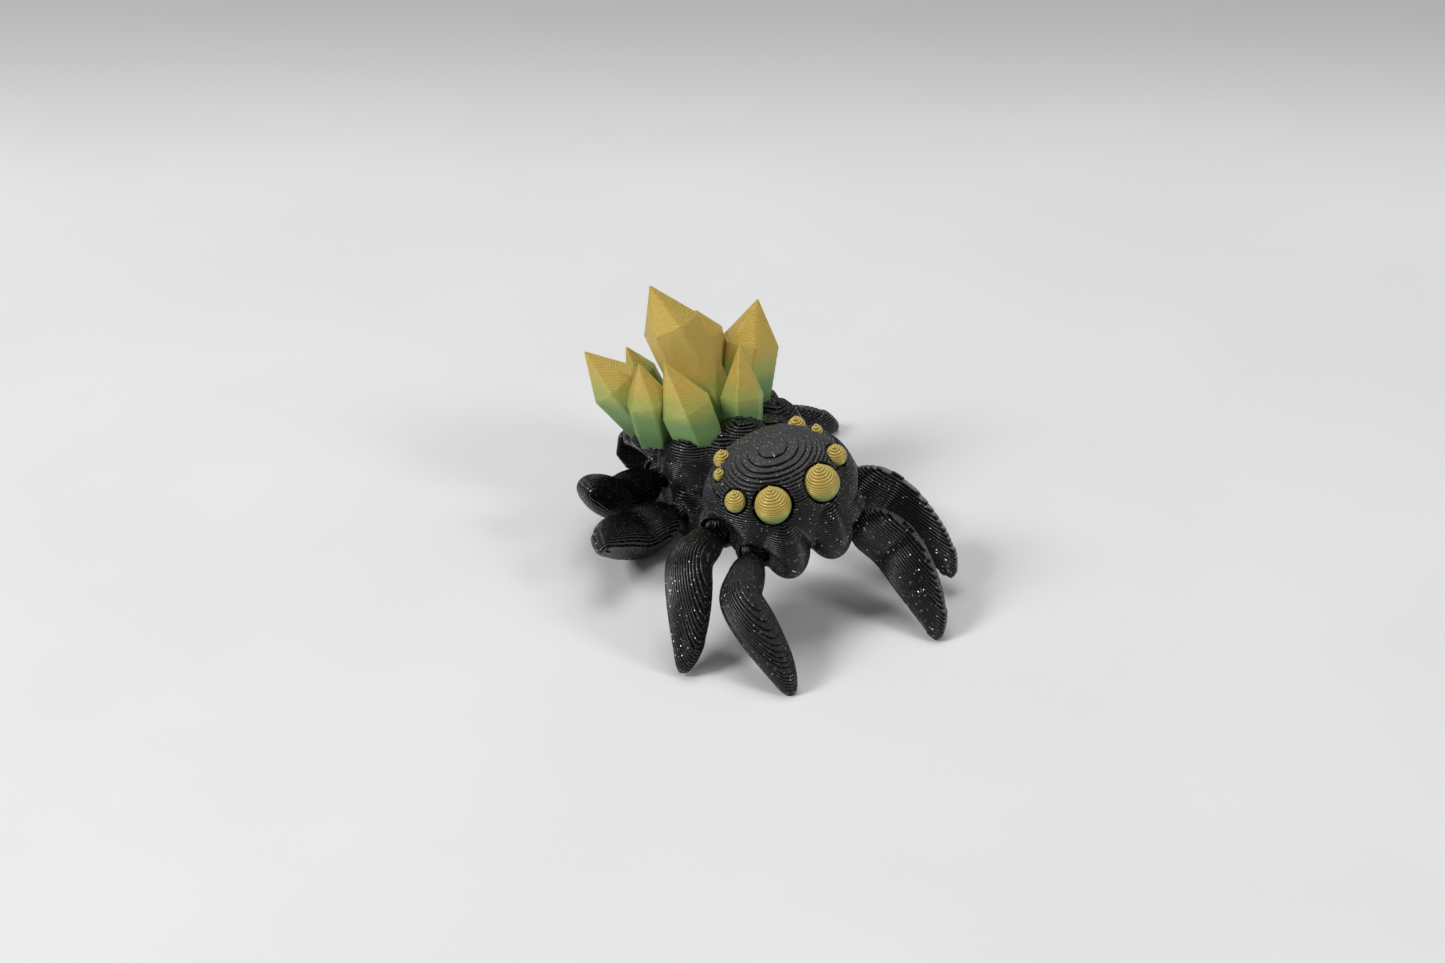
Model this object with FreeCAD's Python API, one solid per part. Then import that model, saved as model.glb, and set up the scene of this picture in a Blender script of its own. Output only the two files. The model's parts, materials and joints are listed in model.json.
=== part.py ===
import FreeCAD, Part
import itertools
import math
import os

# Posable jumping-spider figure, printed in black and in gold-to-green plastic. Millimetres, +Z up,
# the face looks along -Y, the origin is the centre of the rear body's flat underside.

V = FreeCAD.Vector
BULK = 30.0               # larger than any part: size of the blocks that cut away a whole side

# ---- rear body (the rock that carries the crystals and the four rear legs) ----
ROCK_HALF = (9.3, 10.8, 9.3)
ROCK_CENTRE_Z = 4.6
ROCK_TURN = 20.0
BOULDER_SPREAD = 1.05     # corners of a faceted boulder lie this far out, as a share of its radius
BOULDER_AXIS = (1, 2, 3)  # boulders are turned about this axis, each by BOULDER_STEP more
BOULDER_FIRST = 13.0
BOULDER_STEP = 47.0
# boulders of the rock: (x, y, z, radius)
BOULDERS = [
    (-6.9, 5.2, 6.2, 4.2), (6.4, 5.0, 6.4, 4.4), (-3.8, 7.4, 5.2, 4.2), (4.2, 7.2, 5.0, 4.1),
    (0.3, 8.0, 7.6, 4.2), (-5.0, -6.4, 11.2, 3.9), (-1.6, -7.4, 11.2, 3.7), (1.2, -7.0, 12.7, 3.4),
    (5.4, -4.8, 10.4, 3.7), (-8.1, -2.6, 10.9, 3.5), (7.2, -0.6, 10.2, 3.7), (-7.2, 1.8, 10.2, 3.9),
    (5.4, 2.8, 10.8, 3.9), (0.2, 4.4, 10.9, 4.2), (-3.6, 5.4, 10.2, 3.8), (8.0, 3.0, 7.4, 3.0),
    (-8.6, 3.4, 7.4, 2.9),
]
ARCH_RADIUS = 3.5         # recess over the root of each rear leg
ARCH_TOP_Z = 9.6
ARCH_START = 0.9          # outside the hip's centre
ARCH_LENGTH = 14.0

# ---- crystals: name, foot, top, width across flats, length of the tip, sideways shift of the
# tip's point, turn about the crystal's own axis ----
CRYSTALS = [
    ("crystal_tall", (1.0, -2.8, 9.5), (-6.7, 4.4, 29.6), 6.4, 5.6, (-0.3, 0.2), 38.0),
    ("crystal_left", (3.0, 1.2, 7.5), (6.6, 4.8, 25.5), 6.4, 5.4, (0.2, 0.0), 22.0),
    ("crystal_front_left", (1.9, -5.0, 13.2), (2.2, -2.6, 23.8), 4.8, 6.6, (0.0, 0.0), 2.0),
    ("crystal_front", (-3.6, -6.2, 12.6), (-7.3, -3.3, 23.2), 6.0, 6.4, (-0.3, 0.0), 18.0),
    ("crystal_right", (-7.4, -1.0, 12.2), (-15.7, 3.0, 22.6), 5.6, 5.6, (0.0, 0.0), 8.0),
    ("crystal_front_right", (-8.2, -3.2, 12.4), (-10.3, -2.2, 22.8), 5.2, 5.2, (0.0, 0.0), 28.0),
    ("crystal_rear_right", (-4.6, 2.4, 9.5), (-9.5, 6.4, 20.6), 3.8, 3.8, (0.0, 0.0), 14.0),
    ("crystal_middle", (0.8, 2.4, 8.0), (-0.2, 5.8, 24.6), 4.8, 3.0, (-0.6, 0.0), 18.0),
]

CRYSTAL_FOOT = 0.92       # width at the foot, as a share of the width at the shoulder

# ---- head ----
HEAD_CENTRE = (0.4, -24.4, 15.7)
HEAD_TURN = 7.4           # about the vertical, positive turns the face to the spider's left
HEAD_NOD = 10.3           # nose down
HEAD_LEAN = 13.6          # the spider's left side up
HEAD_HALF = (9.35, 7.9, 7.1)
HEAD_FLOOR = -5.9         # flat underside, below the head's centre
CHELICERA_X = 2.8
CHELICERA_Y = -5.9
CHELICERA_Z = -2.4
CHELICERA_HALF = (2.85, 3.3, 4.7)
HIP_BOSS = 2.7            # radius of the head's wall round a hip ball

# eyes on one side: name, angle round from the face, angle up, radius
EYES = [
    ("front_large_eye", 26.0, 36.0, 2.14),
    ("front_small_eye", 65.0, 37.0, 1.28),
    ("side_tiny_eye", 108.0, 43.0, 0.72),
    ("rear_small_eye", 134.0, 42.0, 1.10),
]
EYE_SINK = 0.25           # share of the radius that an eye's centre lies below the head's surface
EYE_SEAT = 0.75           # share of the radius that its flat seat lies below the head's surface
EYE_TIP_ANGLE = 43.0      # half angle of the cone that points an eye's top
EYE_GROOVE = 0.28         # width of the groove round an eye

# ---- neck: a link with a ball at each end ----
NECK_REAR = (0.1, -10.4, 8.8)
NECK_FRONT = (0.3, -17.4, 12.2)
NECK_BALL = 2.0
NECK_BAR = 1.1
NECK_MOUTH = 47.0         # half angle of each socket's mouth
NECK_BOSS = 3.1

# ---- hips and legs ----
HIP_BALL = 2.0
CLEARANCE = 0.06          # between a ball and its socket
HIP_STALK = 1.05          # radius of the stalk that joins ball and leg
FEMUR = 8.3
SHIN = 12.2
KNEE_BEND = 48.0
KNEE_START = 0.75         # the sections turn from femur to shin over this stretch of the leg
KNEE_SPAN = 0.50
STALK_SINK = 0.3          # how deep the stalk goes into the leg
SECTION_POINTS = 12
SECTION_WAIST = 0.42      # level where a section is widest, as a share of its height
# sections of a leg: share along femur (0 to 1) and shin (1 to 2), half width, underside, top
LEG_SECTIONS = [
    (0.27, 1.35, -1.6, 1.5),
    (0.33, 1.75, -2.2, 2.1),
    (0.45, 2.10, -2.7, 2.7),
    (0.62, 2.32, -3.0, 3.1),
    (0.90, 2.50, -3.1, 3.3),
    (1.22, 2.55, -3.1, 3.1),
    (1.55, 2.25, -3.1, 2.1),
    (1.82, 1.60, -3.1, 0.6),
    (1.96, 1.02, -3.1, -0.9),
    (2.02, 0.45, -2.8, -1.9),
]
# hips of the head in the head's own axes, hips of the rear body in the row's axes, each with
# the direction of the leg: turn about the vertical, lift, roll about the femur
HEAD_LEGS = [
    ("right_leg_1", (-5.4, -3.5, -3.1), (238.0, -21.0, -19.0)),
    ("right_leg_2", (-7.4, 1.7, -3.0), (225.0, -7.0, -55.0)),
    ("left_leg_1", (5.9, -3.6, -3.1), (-12.0, -42.0, 2.0)),
    ("left_leg_2", (7.8, 1.6, -3.1), (11.0, -36.0, 7.0)),
]
REAR_LEGS = [
    ("right_leg_3", (-5.4, -6.0, 4.6), (200.0, -12.0, 60.0)),
    ("right_leg_4", (-5.6, 3.2, 4.4), (209.0, -7.0, 76.0)),
    ("left_leg_3", (5.4, -6.0, 4.6), (2.0, -6.0, -8.0)),
    ("left_leg_4", (5.6, 3.2, 4.4), (67.0, -10.0, -8.0)),
]
HIP_MOUTH = 53.0          # half angle of a hip socket's mouth
MOUTH_REACH = 9.0         # how far out a mouth's cone is cut


def save(name, shape):
    shape.exportStep("parts/" + name + ".step")


def ellipsoid(centre, half):
    stretch = FreeCAD.Matrix()
    stretch.scale(V(*half))
    shape = Part.makeSphere(1.0).transformGeometry(stretch)
    shape.translate(V(*centre))
    return shape


def below(level):
    return Part.makeBox(2 * BULK, 2 * BULK, BULK, V(-BULK, -BULK, level - BULK))


def ball(centre, radius, pole=V(0, 0, 1)):
    return Part.makeSphere(radius, V(*centre), pole)


def axis_turn(direction):
    return FreeCAD.Rotation(V(0, 0, 1), V(*direction))


def cone_mouth(centre, direction, half_angle, length):
    # A cone that opens away from a ball's centre: the way a stalk leaves its socket.
    wide = length * math.tan(math.radians(half_angle))
    return Part.makeCone(0.0, wide, length, V(*centre), V(*direction))


# ---- placements ----
def head_placement():
    turn = FreeCAD.Rotation(V(0, 0, 1), HEAD_TURN)
    nod = FreeCAD.Rotation(V(1, 0, 0), HEAD_NOD)
    lean = FreeCAD.Rotation(V(0, 1, 0), -HEAD_LEAN)
    return FreeCAD.Placement(V(*HEAD_CENTRE), turn * lean * nod)


def leg_placement(hip, angles):
    turn, lift, roll = angles
    return FreeCAD.Placement(hip, FreeCAD.Rotation(turn, -lift, roll))


def leg_way(angles):
    return leg_placement(V(), angles).Rotation.multVec(V(1, 0, 0))


def with_socket(shape, centre, radius, way, half_angle):
    cavity = ball(centre, radius + CLEARANCE, way)
    return shape.cut(cavity).cut(cone_mouth(centre, way, half_angle, MOUTH_REACH))


# ---- legs ----
def leg_path_point(share):
    bend = math.radians(KNEE_BEND)
    if share <= 1.0:
        return V(share * FEMUR, 0, 0)
    along = (share - 1.0) * SHIN
    return V(FEMUR + along * math.cos(bend), along * math.sin(bend), 0)


def leg_section(share, half_width, low, high):
    blend = min(1.0, max(0.0, (share - KNEE_START) / KNEE_SPAN))
    heading = math.radians(KNEE_BEND) * blend
    across = V(-math.sin(heading), math.cos(heading), 0)
    centre = leg_path_point(share)
    middle = low + SECTION_WAIST * (high - low)
    points = []
    for k in range(SECTION_POINTS):
        a = 2 * math.pi * k / SECTION_POINTS
        reach = (high - middle) if math.sin(a) > 0 else (middle - low)
        rise = V(0, 0, middle + reach * math.sin(a))
        points.append(centre + across * (half_width * math.cos(a)) + rise)
    curve = Part.BSplineCurve()
    curve.interpolate(points, PeriodicFlag=True)
    return Part.Wire(curve.toShape())


def right_leg():
    wires = [leg_section(*section) for section in LEG_SECTIONS]
    limb = Part.makeLoft(wires, True, False)
    root = leg_path_point(LEG_SECTIONS[0][0])
    stalk = Part.makeCylinder(HIP_STALK, root.x + STALK_SINK, V(0, 0, 0), V(1, 0, 0))
    return limb.fuse(stalk).fuse(ball((0, 0, 0), HIP_BALL, V(1, 0, 0)))


def left_leg():
    return right_leg().mirror(V(0, 0, 0), V(0, 1, 0))


def placed_leg(name, hip, angles):
    leg = right_leg() if name.startswith("right") else left_leg()
    leg.Placement = leg_placement(hip, angles).multiply(leg.Placement)
    return leg


# ---- crystals ----
def crystal(foot, top, flats, tip_length, shift, spin):
    axis = V(*top) - V(*foot)
    length = axis.Length
    corner = flats / math.sqrt(3.0)
    lower = []
    upper = []
    for k in range(6):
        a = math.radians(60 * k + spin)
        x, y = corner * math.cos(a), corner * math.sin(a)
        lower.append(V(CRYSTAL_FOOT * x, CRYSTAL_FOOT * y, 0))
        upper.append(V(x, y, length - tip_length))
    point = V(shift[0], shift[1], length)
    faces = [Part.Face(Part.makePolygon(lower + [lower[0]]))]
    for k in range(6):
        n = (k + 1) % 6
        side = [lower[k], lower[n], upper[n], upper[k], lower[k]]
        faces.append(Part.Face(Part.makePolygon(side)))
        faces.append(Part.Face(Part.makePolygon([upper[k], upper[n], point, upper[k]])))
    solid = Part.makeSolid(Part.makeShell(faces))
    if solid.Volume < 0:
        solid.reverse()
    solid.Placement = FreeCAD.Placement(V(*foot), axis_turn(axis))
    return solid


def all_crystals():
    made = []
    for name, foot, top, flats, tip_length, shift, spin in CRYSTALS:
        solid = crystal(foot, top, flats, tip_length, shift, spin)
        for _, earlier in made:
            solid = solid.cut(earlier)
        largest = max(solid.Solids, key=lambda piece: piece.Volume)
        made.append((name, largest))
    return made


# ---- rear body ----
def facets():
    # Triangles of a regular 20-faced solid of radius 1, each split in four.
    golden = (1 + math.sqrt(5)) / 2
    corners = []
    for a in (-1, 1):
        for b in (-golden, golden):
            corners += [V(0, a, b), V(a, b, 0), V(b, 0, a)]
    # Corners joined by an edge are 2 apart, all others more than 3.
    triangles = []
    for a, b, c in itertools.combinations(corners, 3):
        if max((a - b).Length, (b - c).Length, (c - a).Length) < 2.5:
            triangles.append([corner / corner.Length for corner in (a, b, c)])
    finer = []
    for a, b, c in triangles:
        ab, bc, ca = [(p + q) / (p + q).Length for p, q in ((a, b), (b, c), (c, a))]
        finer += [(a, ab, ca), (ab, b, bc), (ca, bc, c), (ab, bc, ca)]
    return finer


def boulder(centre, half, turn):
    spin = FreeCAD.Rotation(V(*BOULDER_AXIS), turn)
    faces = []
    for triangle in facets():
        points = []
        for corner in triangle:
            p = spin.multVec(corner)
            points.append(V(*centre) + V(p.x * half[0], p.y * half[1], p.z * half[2]))
        faces.append(Part.Face(Part.makePolygon(points + [points[0]])))
    solid = Part.makeSolid(Part.makeShell(faces))
    if solid.Volume < 0:
        solid.reverse()
    return solid


def rock():
    body = boulder((0, 0, ROCK_CENTRE_Z), ROCK_HALF, ROCK_TURN)
    for k, (x, y, z, radius) in enumerate(BOULDERS):
        reach = BOULDER_SPREAD * radius
        turn = BOULDER_FIRST + BOULDER_STEP * k
        body = body.fuse(boulder((x, y, z), (reach, reach, reach), turn))
    return body.cut(below(0.0))


def with_arch(body, hip):
    # The recess over the root of a rear leg: round at the top, open below and on the outside.
    side = 1.0 if hip[0] > 0 else -1.0
    start = hip[0] + side * ARCH_START
    level = ARCH_TOP_Z - ARCH_RADIUS
    vault = Part.makeCylinder(ARCH_RADIUS, ARCH_LENGTH, V(start, hip[1], level), V(side, 0, 0))
    corner = V(min(start, start + side * ARCH_LENGTH), hip[1] - ARCH_RADIUS, level - BULK)
    opening = Part.makeBox(ARCH_LENGTH, 2 * ARCH_RADIUS, BULK, corner)
    return body.cut(vault).cut(opening)


def rear_body(crystals):
    body = rock()
    for _, hip, _ in REAR_LEGS:
        body = with_arch(body, hip)
    for _, hip, angles in REAR_LEGS:
        body = body.fuse(ball(hip, HIP_BOSS, leg_way(angles)))
    body = body.cut(below(0.0))
    neck_way = V(*NECK_FRONT) - V(*NECK_REAR)
    body = body.fuse(ball(NECK_REAR, NECK_BOSS, neck_way))
    for _, hip, angles in REAR_LEGS:
        body = with_socket(body, hip, HIP_BALL, leg_way(angles), HIP_MOUTH)
    body = with_socket(body, NECK_REAR, NECK_BALL, neck_way, NECK_MOUTH)
    for _, solid in crystals:
        body = body.cut(solid)
    return body


# ---- head ----
def eye_frame(angle, rise):
    a, e = math.radians(angle), math.radians(rise)
    aim = V(math.sin(a) * math.cos(e), -math.cos(a) * math.cos(e), math.sin(e))
    hx, hy, hz = HEAD_HALF
    surface = V(aim.x * hx, aim.y * hy, aim.z * hz)
    normal = V(surface.x / hx ** 2, surface.y / hy ** 2, surface.z / hz ** 2)
    normal.normalize()
    return FreeCAD.Placement(surface, axis_turn(normal))


def eye(radius, frame):
    # A ball with a pointed top, on a flat seat. The head's surface is at z = 0 and its normal is +Z.
    up = frame.Rotation.inverted().multVec(V(0, 0, 1))
    centre = V(0, 0, -EYE_SINK * radius)
    half_angle = math.radians(EYE_TIP_ANGLE)
    foot = radius * math.sin(half_angle)
    wide = radius * math.cos(half_angle)
    height = radius / math.sin(half_angle) - foot
    tip = Part.makeCone(wide, 0.0, height, centre + up * foot, up)
    return Part.makeSphere(radius, centre, up).fuse(tip).cut(below(-EYE_SEAT * radius))


def eye_pocket(radius):
    return Part.makeCylinder(radius + EYE_GROOVE, 3 * radius, V(0, 0, -EYE_SEAT * radius))


def all_eyes():
    made = []
    for side, sign in (("right", -1), ("left", 1)):
        for name, angle, rise, radius in EYES:
            frame = eye_frame(sign * angle, rise)
            bead = eye(radius, frame)
            bead.Placement = frame
            pocket = eye_pocket(radius)
            pocket.Placement = frame
            made.append((side + "_" + name, bead, pocket))
    return made


def head(eyes):
    skull = ellipsoid((0, 0, 0), HEAD_HALF)
    for _, hip, _ in HEAD_LEGS:
        skull = skull.fuse(ball(hip, HIP_BOSS))
    skull = skull.cut(below(HEAD_FLOOR))
    for sign in (-1, 1):
        centre = (sign * CHELICERA_X, CHELICERA_Y, CHELICERA_Z)
        skull = skull.fuse(ellipsoid(centre, CHELICERA_HALF))
    for _, _, pocket in eyes:
        skull = skull.cut(pocket)
    skull.Placement = head_placement()
    neck_way = V(*NECK_REAR) - V(*NECK_FRONT)
    skull = skull.fuse(ball(NECK_FRONT, NECK_BOSS, neck_way))
    for _, hip, angles in HEAD_LEGS:
        centre = head_placement().multVec(V(*hip))
        skull = with_socket(skull, centre, HIP_BALL, leg_way(angles), HIP_MOUTH)
    return with_socket(skull, NECK_FRONT, NECK_BALL, neck_way, NECK_MOUTH)


def neck_link():
    way = V(*NECK_FRONT) - V(*NECK_REAR)
    bar = Part.makeCylinder(NECK_BAR, way.Length, V(*NECK_REAR), way)
    return bar.fuse(ball(NECK_REAR, NECK_BALL, way)).fuse(ball(NECK_FRONT, NECK_BALL, way))


os.makedirs("parts", exist_ok=True)
crystals = all_crystals()
for name, solid in crystals:
    save(name, solid)
save("rear_body", rear_body(crystals))
eyes = all_eyes()
save("head", head(eyes))
for name, bead, _ in eyes:
    bead.Placement = head_placement().multiply(bead.Placement)
    save(name, bead)
save("neck_link", neck_link())
for name, hip, angles in HEAD_LEGS:
    save(name, placed_leg(name, head_placement().multVec(V(*hip)), angles))
for name, hip, angles in REAR_LEGS:
    save(name, placed_leg(name, V(*hip), angles))
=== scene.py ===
import json
import math
import random

import bpy
import numpy as np
from mathutils import Matrix, Vector
from mathutils.geometry import tessellate_polygon

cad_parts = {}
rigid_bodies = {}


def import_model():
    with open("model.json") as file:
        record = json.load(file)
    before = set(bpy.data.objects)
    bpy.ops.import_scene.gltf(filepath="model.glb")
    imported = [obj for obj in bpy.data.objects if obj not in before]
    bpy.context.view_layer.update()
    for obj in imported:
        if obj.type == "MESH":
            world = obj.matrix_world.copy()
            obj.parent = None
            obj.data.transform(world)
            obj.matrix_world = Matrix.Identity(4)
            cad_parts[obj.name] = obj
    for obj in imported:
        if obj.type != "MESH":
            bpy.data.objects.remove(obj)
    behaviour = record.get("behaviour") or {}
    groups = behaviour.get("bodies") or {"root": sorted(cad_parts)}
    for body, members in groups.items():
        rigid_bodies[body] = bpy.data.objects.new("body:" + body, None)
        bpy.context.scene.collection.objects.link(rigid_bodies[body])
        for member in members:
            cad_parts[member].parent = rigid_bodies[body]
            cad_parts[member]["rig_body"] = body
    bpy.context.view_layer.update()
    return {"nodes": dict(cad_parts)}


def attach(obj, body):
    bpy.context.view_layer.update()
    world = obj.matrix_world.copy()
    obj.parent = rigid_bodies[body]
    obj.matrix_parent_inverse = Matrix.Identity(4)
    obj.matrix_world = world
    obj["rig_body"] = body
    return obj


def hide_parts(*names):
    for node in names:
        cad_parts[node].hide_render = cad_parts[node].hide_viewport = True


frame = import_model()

# The figure is a filament print, so each printed piece is rebuilt here as the stack of beads that a
# printer lays down. The CAD solid is sliced in the direction it was printed in, and every slice
# becomes one bead. Lengths are metres in the CAD frame, heights above the bed are millimetres.

MM = 0.001
WELD = 0.0005 * MM             # vertices closer than this are one
OFF_PLANE = 1e-8               # keeps a slice off the vertices that lie on its plane
SMALLEST_LOOP = 0.5 * MM       # shorter outlines are left out

LAYER = 0.27 * MM
BEAD_STEP = 0.28 * MM          # spacing of the points round a bead
BEAD_EDGE = 0.12 * MM          # how far a bead's edge rounds in at its top and bottom
BEAD_EDGE_SHARE = 0.12         # the same for a small bead, as a share of its width
BEAD_WANDER = 0.012 * MM       # how far a bead strays inwards
# A bead's rounded side, from its bottom to its top: share of the layer's height, share of the edge.
BEAD_SIDE = []
for angle in (-80, -45, 0, 45, 80):
    a = math.radians(angle)
    BEAD_SIDE.append((0.5 + 0.5 * math.sin(a), 1.0 - math.cos(a)))

LEG_LAYER = 0.30 * MM
LEG_INSET = 0.05 * MM
LEG_HUG = 0.40                 # leg beads are cut this far from mid layer, towards the thinner face
CRYSTAL_LAYER = 0.14 * MM
CRYSTAL_EDGE = 0.025 * MM
CRYSTAL_WANDER = 0.005 * MM
EYE_STEP = 0.16 * MM

# How each piece lay on the printer's bed: turn, lean, nod of the head, and turn, lift, roll of
# each leg, in degrees, as posed on the table.
HEAD_POSE = (7.4, 13.6, 10.3)
LEG_POSES = {
    "right_leg_1": (238.0, -21.0, -19.0), "right_leg_2": (225.0, -7.0, -55.0),
    "left_leg_1": (-12.0, -42.0, 2.0), "left_leg_2": (11.0, -36.0, 7.0),
    "right_leg_3": (200.0, -12.0, 60.0), "right_leg_4": (209.0, -7.0, 76.0),
    "left_leg_3": (2.0, -6.0, -8.0), "left_leg_4": (67.0, -10.0, -8.0),
}

CAMERA_HEADING = -17.0         # degrees about the vertical from +Y
CAMERA_PITCH = 29.8            # degrees down
CAMERA_HEIGHT = 248.5 * MM
CAMERA_AWAY = 427.7 * MM       # in front of the frame's origin
CAMERA_ASIDE = 0.8 * MM
CAMERA_LENS = 100.0            # for a sensor 36 wide
rng = random.Random(11)


# ---------------------------------------------------------------- slicing
def turned(axis, degrees):
    return np.array(Matrix.Rotation(math.radians(degrees), 3, axis))


def head_rotation():
    turn, lean, nod = HEAD_POSE
    return turned("Z", turn) @ turned("Y", -lean) @ turned("X", nod)


def leg_rotation(pose):
    turn, lift, roll = pose
    return turned("Z", turn) @ turned("Y", -lift) @ turned("X", roll)


def welded_mesh(obj):
    """Vertices and triangles of a CAD node, with equal vertices joined."""
    mesh = obj.data
    mesh.calc_loop_triangles()
    points = np.empty(len(mesh.vertices) * 3)
    mesh.vertices.foreach_get("co", points)
    triangles = np.empty(len(mesh.loop_triangles) * 3, dtype=np.int64)
    mesh.loop_triangles.foreach_get("vertices", triangles)
    points = points.reshape(-1, 3)
    keys = np.round(points / WELD).astype(np.int64)
    _, first, back = np.unique(keys, axis=0, return_index=True, return_inverse=True)
    triangles = back.reshape(-1)[triangles].reshape(-1, 3)
    distinct = (triangles[:, 0] != triangles[:, 1]) & (triangles[:, 1] != triangles[:, 2])
    distinct &= triangles[:, 0] != triangles[:, 2]
    return points[first], triangles[distinct]


def slice_loops(points, triangles, height):
    """Closed outlines where the plane z = height cuts the mesh."""
    above = points[:, 2] > height
    count = above[triangles].sum(axis=1)
    cut = triangles[(count == 1) | (count == 2)]
    links = {}
    where = {}
    for tri in cut:
        ends = []
        for a, b in ((tri[0], tri[1]), (tri[1], tri[2]), (tri[2], tri[0])):
            if above[a] != above[b]:
                key = (a, b) if a < b else (b, a)
                if key not in where:
                    low, high = points[key[0]], points[key[1]]
                    share = (height - low[2]) / (high[2] - low[2])
                    where[key] = (low + share * (high - low))[:2]
                ends.append(key)
        if len(ends) == 2:
            links.setdefault(ends[0], []).append(ends[1])
            links.setdefault(ends[1], []).append(ends[0])
    loops = []
    used = set()
    for start in links:
        if start in used:
            continue
        loop = [start]
        used.add(start)
        now = start
        while True:
            following = [k for k in links[now] if k not in used]
            if not following:
                break
            now = following[0]
            used.add(now)
            loop.append(now)
        if len(loop) >= 4:
            loops.append(np.array([where[k] for k in loop]))
    return loops


def resampled(loop, step, soften):
    """The outline with evenly spaced points, its facets softened a little."""
    closed = np.vstack([loop, loop[:1]])
    lengths = np.linalg.norm(np.diff(closed, axis=0), axis=1)
    along = np.concatenate([[0.0], np.cumsum(lengths)])
    total = along[-1]
    if total < SMALLEST_LOOP:
        return None
    count = max(8, int(total / step))
    at = np.linspace(0.0, total, count, endpoint=False)
    even = np.stack([np.interp(at, along, closed[:, k]) for k in (0, 1)], axis=1)
    for _ in range(soften):
        even = 0.5 * even + 0.25 * (np.roll(even, 1, axis=0) + np.roll(even, -1, axis=0))
    return even


def area(loop):
    x, y = loop[:, 0], loop[:, 1]
    return 0.5 * float(np.sum(x * np.roll(y, -1) - np.roll(x, -1) * y))


def inside(point, loop):
    x, y = point
    x1, y1 = loop[:, 0], loop[:, 1]
    x2, y2 = np.roll(x1, -1), np.roll(y1, -1)
    crosses = (y1 > y) != (y2 > y)
    with np.errstate(divide="ignore", invalid="ignore"):
        at = (x2 - x1) * (y - y1) / (y2 - y1) + x1
    return bool(np.sum(crosses & (x < at)) % 2)


def nested(loops):
    """Groups of one outer outline (anticlockwise) and its holes (clockwise)."""
    depth = []
    for j, outline in enumerate(loops):
        others = loops[:j] + loops[j + 1:]
        depth.append(sum(inside(outline[0], other) for other in others))
    groups = []
    for j, outline in enumerate(loops):
        if depth[j] % 2 == 0:
            outer = outline if area(outline) > 0 else outline[::-1]
            groups.append([outer, depth[j]])
    for j, outline in enumerate(loops):
        if depth[j] % 2 == 1:
            hole = outline if area(outline) < 0 else outline[::-1]
            for group in groups:
                if group[1] == depth[j] - 1 and inside(outline[0], group[0]):
                    group.append(hole)
                    break
    return [[group[0]] + group[2:] for group in groups]


def inward(loop):
    """Unit directions into the material, for an outline with material on its left."""
    tangent = np.roll(loop, -1, axis=0) - np.roll(loop, 1, axis=0)
    tangent /= np.linalg.norm(tangent, axis=1, keepdims=True) + 1e-12
    return np.stack([-tangent[:, 1], tangent[:, 0]], axis=1)


def add_rings(stack, outline, low, layer, edge, wander, inset):
    """The rounded side of one bead. Returns where its points start and its lowest ring."""
    vertices, faces = stack
    count = len(outline)
    into = inward(outline)
    reach = min(edge, BEAD_EDGE_SHARE * math.sqrt(abs(area(outline))))
    ease = np.array([rng.uniform(0.0, 1.0) for _ in range(count)])
    ease = (ease + np.roll(ease, 1) + np.roll(ease, -1)) / 3
    body = outline + into * (inset + wander * ease)[:, None]
    start = len(vertices)
    for rise, pull in BEAD_SIDE:
        ring = body + into * (pull * reach)
        z = low + rise * layer
        vertices.extend((x, y, z) for x, y in ring)
    for r in range(len(BEAD_SIDE) - 1):
        a, b = start + r * count, start + (r + 1) * count
        for j in range(count):
            n = (j + 1) % count
            faces.append((a + j, a + n, b + n, b + j))
    return start, body + into * reach


def add_caps(stack, rings):
    """The flat top and bottom of one bead, holes left open."""
    vertices, faces = stack
    flat = [[(x, y, 0.0) for x, y in ring] for _, ring in rings]
    bottom, top = [], []
    for start, ring in rings:
        highest = start + (len(BEAD_SIDE) - 1) * len(ring)
        bottom.extend(range(start, start + len(ring)))
        top.extend(range(highest, highest + len(ring)))
    for a, b, c in tessellate_polygon(flat):
        pa, pb, pc = (vertices[bottom[i]] for i in (a, b, c))
        turn = (pb[0] - pa[0]) * (pc[1] - pa[1]) - (pb[1] - pa[1]) * (pc[0] - pa[0])
        if turn < 0:
            b, c = c, b
        faces.append((top[a], top[b], top[c]))
        faces.append((bottom[c], bottom[b], bottom[a]))


def bead_stack(
    obj, rotation, layer=LAYER, step=BEAD_STEP, edge=BEAD_EDGE, soften=2,
    wander=BEAD_WANDER, inset=0.0, hug=0.0,
):
    """A CAD node rebuilt as a stack of printed beads. Returns vertices in the frame, faces and
    the height of every vertex above the bed."""
    points, triangles = welded_mesh(obj)
    points = points @ rotation
    bed, top = points[:, 2].min(), points[:, 2].max()
    layers = max(1, int(round((top - bed) / layer)))
    layer = (top - bed) / layers
    stack = ([], [])
    vertices, faces = stack
    for k in range(layers):
        low = bed + k * layer
        share = 0.5 + (hug if 2 * k + 1 > layers else -hug)
        loops = slice_loops(points, triangles, low + share * layer + OFF_PLANE)
        loops = [resampled(loop, step, soften) for loop in loops]
        loops = [loop for loop in loops if loop is not None]
        for group in nested(loops):
            rings = [add_rings(stack, outline, low, layer, edge, wander, inset) for outline in group]
            add_caps(stack, rings)
    vertices = np.array(vertices)
    return vertices @ rotation.T, faces, (vertices[:, 2] - bed) / MM


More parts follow.
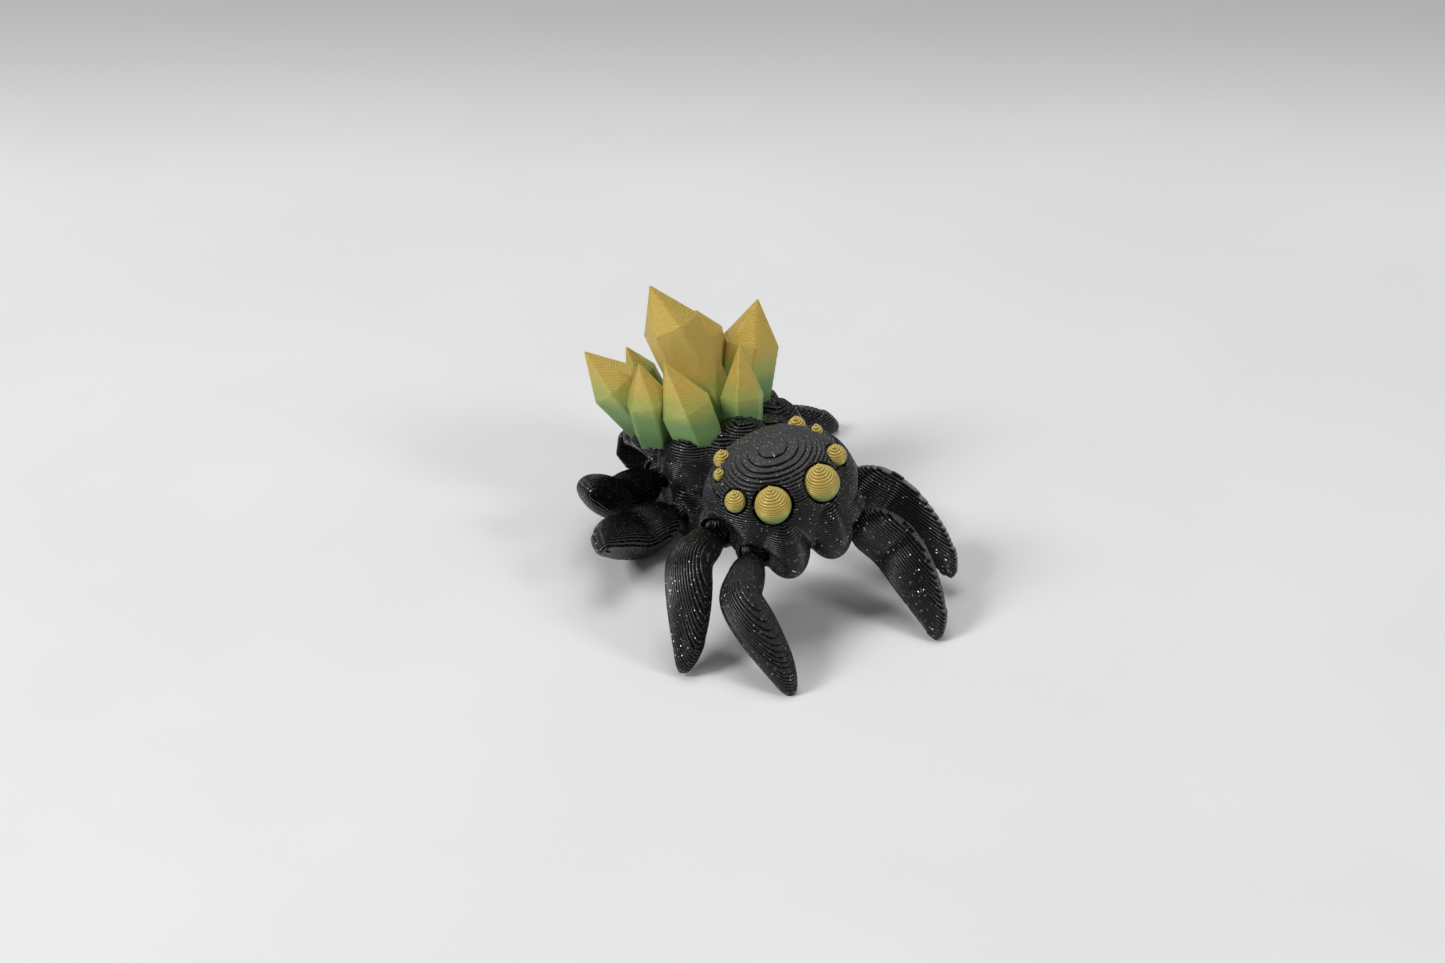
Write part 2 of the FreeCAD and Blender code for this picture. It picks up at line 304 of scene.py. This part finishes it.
def new_piece(name, vertices, faces, heights, material, body, node):
    mesh = bpy.data.meshes.new(name)
    mesh.from_pydata([tuple(v) for v in vertices], [], faces)
    for polygon in mesh.polygons:
        polygon.use_smooth = len(polygon.vertices) == 4
    mesh.update()
    height = mesh.attributes.new("print_height", "FLOAT", "POINT")
    height.data.foreach_set("value", np.asarray(heights, dtype=np.float32))
    mesh.materials.append(material)
    piece = bpy.data.objects.new(name, mesh)
    bpy.context.scene.collection.objects.link(piece)
    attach(piece, body)
    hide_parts(node)
    return piece


# ---------------------------------------------------------------- materials
class Nodes:
    """Short names for building a node tree."""

    def __init__(self, name):
        self.material = bpy.data.materials.new(name)
        self.material.use_nodes = True
        self.tree = self.material.node_tree
        self.tree.nodes.clear()
        self.out = self.add("ShaderNodeOutputMaterial")
        self.shader = self.add("ShaderNodeBsdfPrincipled")
        self.link(self.shader.outputs[0], self.out.inputs["Surface"])

    def add(self, kind, **settings):
        node = self.tree.nodes.new(kind)
        for key, value in settings.items():
            setattr(node, key, value)
        return node

    def link(self, source, target):
        self.tree.links.new(source, target)

    def put(self, value, target):
        if hasattr(value, "is_output"):
            self.link(value, target)
        else:
            target.default_value = value

    def math(self, operation, a, b=0.0, clamp=False):
        node = self.add("ShaderNodeMath", operation=operation, use_clamp=clamp)
        self.put(a, node.inputs[0])
        self.put(b, node.inputs[1])
        return node.outputs[0]

    def ramp(self, source, low, high, to_low=0.0, to_high=1.0):
        node = self.add("ShaderNodeMapRange", interpolation_type="SMOOTHSTEP")
        self.put(source, node.inputs["Value"])
        node.inputs["From Min"].default_value = low
        node.inputs["From Max"].default_value = high
        node.inputs["To Min"].default_value = to_low
        node.inputs["To Max"].default_value = to_high
        return node.outputs[0]

    def mix(self, share, a, b):
        node = self.add("ShaderNodeMix", data_type="RGBA")
        self.put(share, node.inputs[0])
        self.put(a, node.inputs[6])
        self.put(b, node.inputs[7])
        return node.outputs[2]

    def noise(self, scale, detail=2.0, stretch=(1, 1, 1)):
        node = self.add("ShaderNodeTexNoise")
        node.inputs["Scale"].default_value = scale
        node.inputs["Detail"].default_value = detail
        self.link(self.place(stretch), node.inputs["Vector"])
        return node.outputs["Fac"]

    def place(self, stretch=(1, 1, 1)):
        where = self.add("ShaderNodeTexCoord")
        scale = self.add("ShaderNodeMapping")
        scale.inputs["Scale"].default_value = [s / MM for s in stretch]
        self.link(where.outputs["Object"], scale.inputs["Vector"])
        return scale.outputs[0]

    def bump(self, height, strength, distance):
        node = self.add("ShaderNodeBump")
        node.inputs["Strength"].default_value = strength
        node.inputs["Distance"].default_value = distance
        self.link(height, node.inputs["Height"])
        return node.outputs[0]


FLAKES_PER_MM = 3.2
FLAKE_SHARE = 0.28             # share of the cells that hold a flake
FLAKE_SIZE = (0.20, 0.34)      # where a flake fades out, as a share of its cell
FLAKE_TILT = 0.9
FLAKE_COOL = (0.70, 0.72, 0.80, 1)
FLAKE_WARM = (0.86, 0.78, 0.66, 1)
BLACK_DEEP = (0.0040, 0.0040, 0.0044, 1)
BLACK_PALE = (0.0080, 0.0080, 0.0086, 1)
BLACK_ROUGHNESS = (0.22, 0.33)

GREEN_DEEP = (0.09, 0.21, 0.08)
GREEN = (0.19, 0.35, 0.13)
YELLOW_GREEN = (0.46, 0.50, 0.14)
GOLD = (0.66, 0.50, 0.13)
GOLD_LINE = (0.34, 0.24, 0.05)
GOLD_ROUGHNESS = (0.30, 0.44)

PAPER_DULL = (0.81, 0.81, 0.81, 1)
PAPER_CLEAN = (0.84, 0.84, 0.84, 1)
PAPER_PAINTED_SHADE = (0.52, 0.52, 0.53, 1)
PAPER_SHADE_SPAN = (85.0, 170.0)     # painted shade: the paper is darkened this far behind the figure, in mm


def black_glitter():
    """Black filament with fine glitter: each flake is a small bright facet, tilted its own way."""
    n = Nodes("black_glitter")
    cells = n.add("ShaderNodeTexVoronoi", feature="F1")
    cells.inputs["Scale"].default_value = FLAKES_PER_MM
    n.link(n.place(), cells.inputs["Vector"])
    pick = n.add("ShaderNodeSeparateColor")
    n.link(cells.outputs["Color"], pick.inputs[0])
    chosen = n.math("GREATER_THAN", pick.outputs[0], 1.0 - FLAKE_SHARE)
    near = n.ramp(cells.outputs["Distance"], *FLAKE_SIZE, 1.0, 0.0)
    flake = n.math("MULTIPLY", chosen, near)
    bright = n.math("MULTIPLY", flake, n.ramp(pick.outputs[1], 0.0, 1.0, 0.35, 1.0))
    black = n.mix(n.ramp(n.noise(0.55, 3.0), 0.3, 0.7), BLACK_DEEP, BLACK_PALE)
    tint = n.mix(pick.outputs[2], FLAKE_COOL, FLAKE_WARM)
    n.link(n.mix(bright, black, tint), n.shader.inputs["Base Color"])
    n.link(n.math("MULTIPLY", flake, 0.90), n.shader.inputs["Metallic"])
    rough = n.ramp(n.noise(1.7, 3.0), 0.2, 0.8, *BLACK_ROUGHNESS)
    rough = n.math("ADD", rough, n.math("MULTIPLY", flake, -0.05))
    n.link(rough, n.shader.inputs["Roughness"])
    n.shader.inputs["Specular IOR Level"].default_value = 0.52
    tilt = n.add("ShaderNodeVectorMath", operation="SUBTRACT")
    n.link(cells.outputs["Color"], tilt.inputs[0])
    tilt.inputs[1].default_value = (0.5, 0.5, 0.5)
    lean = n.add("ShaderNodeVectorMath", operation="SCALE")
    n.link(tilt.outputs[0], lean.inputs[0])
    n.link(n.math("MULTIPLY", flake, FLAKE_TILT), lean.inputs["Scale"])
    aim = n.add("ShaderNodeVectorMath", operation="ADD")
    n.link(n.bump(n.noise(9.0, 3.0), 0.25, 0.03 * MM), aim.inputs[0])
    n.link(lean.outputs[0], aim.inputs[1])
    unit = n.add("ShaderNodeVectorMath", operation="NORMALIZE")
    n.link(aim.outputs[0], unit.inputs[0])
    n.link(unit.outputs[0], n.shader.inputs["Normal"])
    return n.material


def gold_green(name, deep_to, green_to, gold_from, painted_light_scale):
    """Silky filament, deep green at the bed, then green, yellow green and gold. Heights in mm. Every
    colour is multiplied by one factor per piece: a factor above one paints light on the piece, a
    factor below one paints shade.
    """
    n = Nodes(name)
    height = n.add("ShaderNodeAttribute", attribute_name="print_height").outputs["Fac"]
    streak = n.math("SUBTRACT", n.noise(0.8, 3.0, (0.5, 0.5, 3.0)), 0.5)
    height = n.math("ADD", height, n.math("MULTIPLY", streak, 1.1))
    middle = 0.5 * (green_to + gold_from)
    colors = []
    # Painted light and shade: the colours are scaled by one factor for the whole piece.
    for red, green, blue in (GREEN_DEEP, GREEN, YELLOW_GREEN, GOLD):
        colors.append((red * painted_light_scale, green * painted_light_scale, blue * painted_light_scale, 1))
    color = colors[0]
    steps = [(deep_to, green_to), (green_to, middle), (middle, gold_from)]
    for (low, high), higher in zip(steps, colors[1:]):
        color = n.mix(n.ramp(height, low, high), color, higher)
    line = tuple(channel * painted_light_scale for channel in GOLD_LINE) + (1,)
    lines = n.ramp(n.noise(6.0, 2.0, (0.25, 0.25, 1.0)), 0.3, 0.7, 0.0, 0.16)
    n.link(n.mix(lines, color, line), n.shader.inputs["Base Color"])
    n.link(n.ramp(n.noise(2.2, 3.0), 0.25, 0.75, *GOLD_ROUGHNESS), n.shader.inputs["Roughness"])
    n.shader.inputs["Metallic"].default_value = 0.30
    n.shader.inputs["Specular IOR Level"].default_value = 0.55
    n.shader.inputs["Subsurface Weight"].default_value = 0.06
    n.shader.inputs["Subsurface Radius"].default_value = (0.8 * MM, 0.7 * MM, 0.3 * MM)
    n.shader.inputs["Subsurface Scale"].default_value = 1.0
    n.link(n.bump(n.noise(8.0, 2.0), 0.2, 0.03 * MM), n.shader.inputs["Normal"])
    return n.material


def table_paper():
    n = Nodes("table_paper")
    paper = n.mix(n.ramp(n.noise(0.02, 3.0), 0.3, 0.7), PAPER_DULL, PAPER_CLEAN)
    where = n.add("ShaderNodeSeparateXYZ")
    n.link(n.place(), where.inputs[0])
    # Painted shade: the paper's colour darkens with its distance behind the figure.
    painted_shade_share = n.ramp(where.outputs["Y"], *PAPER_SHADE_SPAN)
    n.link(n.mix(painted_shade_share, paper, PAPER_PAINTED_SHADE), n.shader.inputs["Base Color"])
    n.shader.inputs["Roughness"].default_value = 0.75
    n.link(n.bump(n.noise(1.5, 4.0), 0.1, 0.05 * MM), n.shader.inputs["Normal"])
    return n.material


# ---------------------------------------------------------------- the pieces
BLACK = black_glitter()
# Heights are over the table for crystals and over the head's flat underside for eyes.
# One filament for crystals and eyes: the crystals' colours are scaled up by 1.08 as painted light,
# and the eyes' colours are scaled down by 0.86 as painted shade.
CRYSTAL = gold_green("crystal_gold_green", deep_to=12.6, green_to=15.9, gold_from=20.3, painted_light_scale=1.08)
EYE = gold_green("eye_gold_green", deep_to=9.8, green_to=10.9, gold_from=12.2, painted_light_scale=0.86)


def printed(name, node, material, slot, rotation, datum=None, **bead):
    vertices, faces, heights = bead_stack(node, rotation, **bead)
    if datum is not None:
        heights = ((vertices @ rotation)[:, 2] - datum) / MM
    new_piece("printed_" + name, vertices, faces, heights, material, node["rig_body"], name)


upright = np.identity(3)
head_up = head_rotation()
head_points, _ = welded_mesh(frame["nodes"]["head"])
head_floor = (head_points @ head_up)[:, 2].min()

for name, node in frame["nodes"].items():
    if name.startswith("crystal"):
        printed(
            name, node, CRYSTAL, "gold_green_plastic", upright, datum=0.0,
            layer=CRYSTAL_LAYER, edge=CRYSTAL_EDGE, soften=0, wander=CRYSTAL_WANDER,
        )
    elif name.endswith("_eye"):
        printed(
            name, node, EYE, "gold_green_plastic", head_up, datum=head_floor,
            step=EYE_STEP, soften=1,
        )
    elif name in LEG_POSES:
        printed(
            name, node, BLACK, "black_glitter_plastic", leg_rotation(LEG_POSES[name]),
            layer=LEG_LAYER, inset=LEG_INSET, hug=LEG_HUG,
        )
    else:
        rotation = head_up if name == "head" else upright
        printed(name, node, BLACK, "black_glitter_plastic", rotation)


# ---------------------------------------------------------------- table, light and camera
def table():
    """A sheet of paper that lies flat and sweeps up behind the figure."""
    half_width, front, back, top, sweep, steps = 1.6, -0.9, 0.75, 0.9, 0.35, 12
    profile = [(front, 0.0), (back, 0.0)]
    for k in range(1, steps + 1):
        a = math.radians(90 * k / steps)
        profile.append((back + sweep * math.sin(a), sweep * (1 - math.cos(a))))
    profile.append((back + sweep, top))
    vertices, faces = [], []
    for y, z in profile:
        vertices += [(-half_width, y, z), (half_width, y, z)]
    for k in range(len(profile) - 1):
        faces.append((2 * k, 2 * k + 1, 2 * k + 3, 2 * k + 2))
    mesh = bpy.data.meshes.new("table_top")
    mesh.from_pydata(vertices, [], faces)
    for polygon in mesh.polygons:
        polygon.use_smooth = True
    mesh.materials.append(table_paper())
    floor = bpy.data.objects.new("table_top", mesh)
    floor.rotation_euler = (0, 0, math.radians(CAMERA_HEADING))
    bpy.context.scene.collection.objects.link(floor)


def area_light(name, place, size, power):
    light = bpy.data.lights.new(name, "AREA")
    light.shape = "SQUARE"
    light.size = size
    light.energy = power
    lamp = bpy.data.objects.new(name, light)
    lamp.location = place
    lamp.rotation_euler = (Vector(CENTER) - Vector(place)).to_track_quat("-Z", "Y").to_euler()
    bpy.context.scene.collection.objects.link(lamp)


def camera_at(place, pitch_down, heading, lens):
    camera = bpy.data.cameras.new("photo_camera")
    camera.lens = lens
    camera.sensor_width = 36.0
    camera.clip_start = 0.01
    holder = bpy.data.objects.new("photo_camera", camera)
    holder.location = place
    holder.rotation_euler = (math.radians(90.0 - pitch_down), 0.0, math.radians(heading))
    bpy.context.scene.collection.objects.link(holder)
    bpy.context.scene.camera = holder


CENTER = (0.0, -0.010, 0.010)
table()
area_light("top_panel", place=(0.02, 0.16, 0.80), size=0.45, power=2.2)
area_light("left_panel", place=(-0.55, -0.10, 0.50), size=0.24, power=2.9)
area_light("right_panel", place=(0.45, -0.50, 0.45), size=0.20, power=1.5)
world = bpy.data.worlds.new("studio")
world.use_nodes = True
background = world.node_tree.nodes["Background"]
background.inputs["Color"].default_value = (0.98, 0.99, 1.0, 1)
background.inputs["Strength"].default_value = 0.19
bpy.context.scene.world = world
bpy.context.scene.view_settings.view_transform = "Standard"

heading = Matrix.Rotation(math.radians(CAMERA_HEADING), 3, "Z")
stand = heading @ Vector((CAMERA_ASIDE, -CAMERA_AWAY, 0.0))
camera_at((stand.x, stand.y, CAMERA_HEIGHT), CAMERA_PITCH, CAMERA_HEADING, CAMERA_LENS)
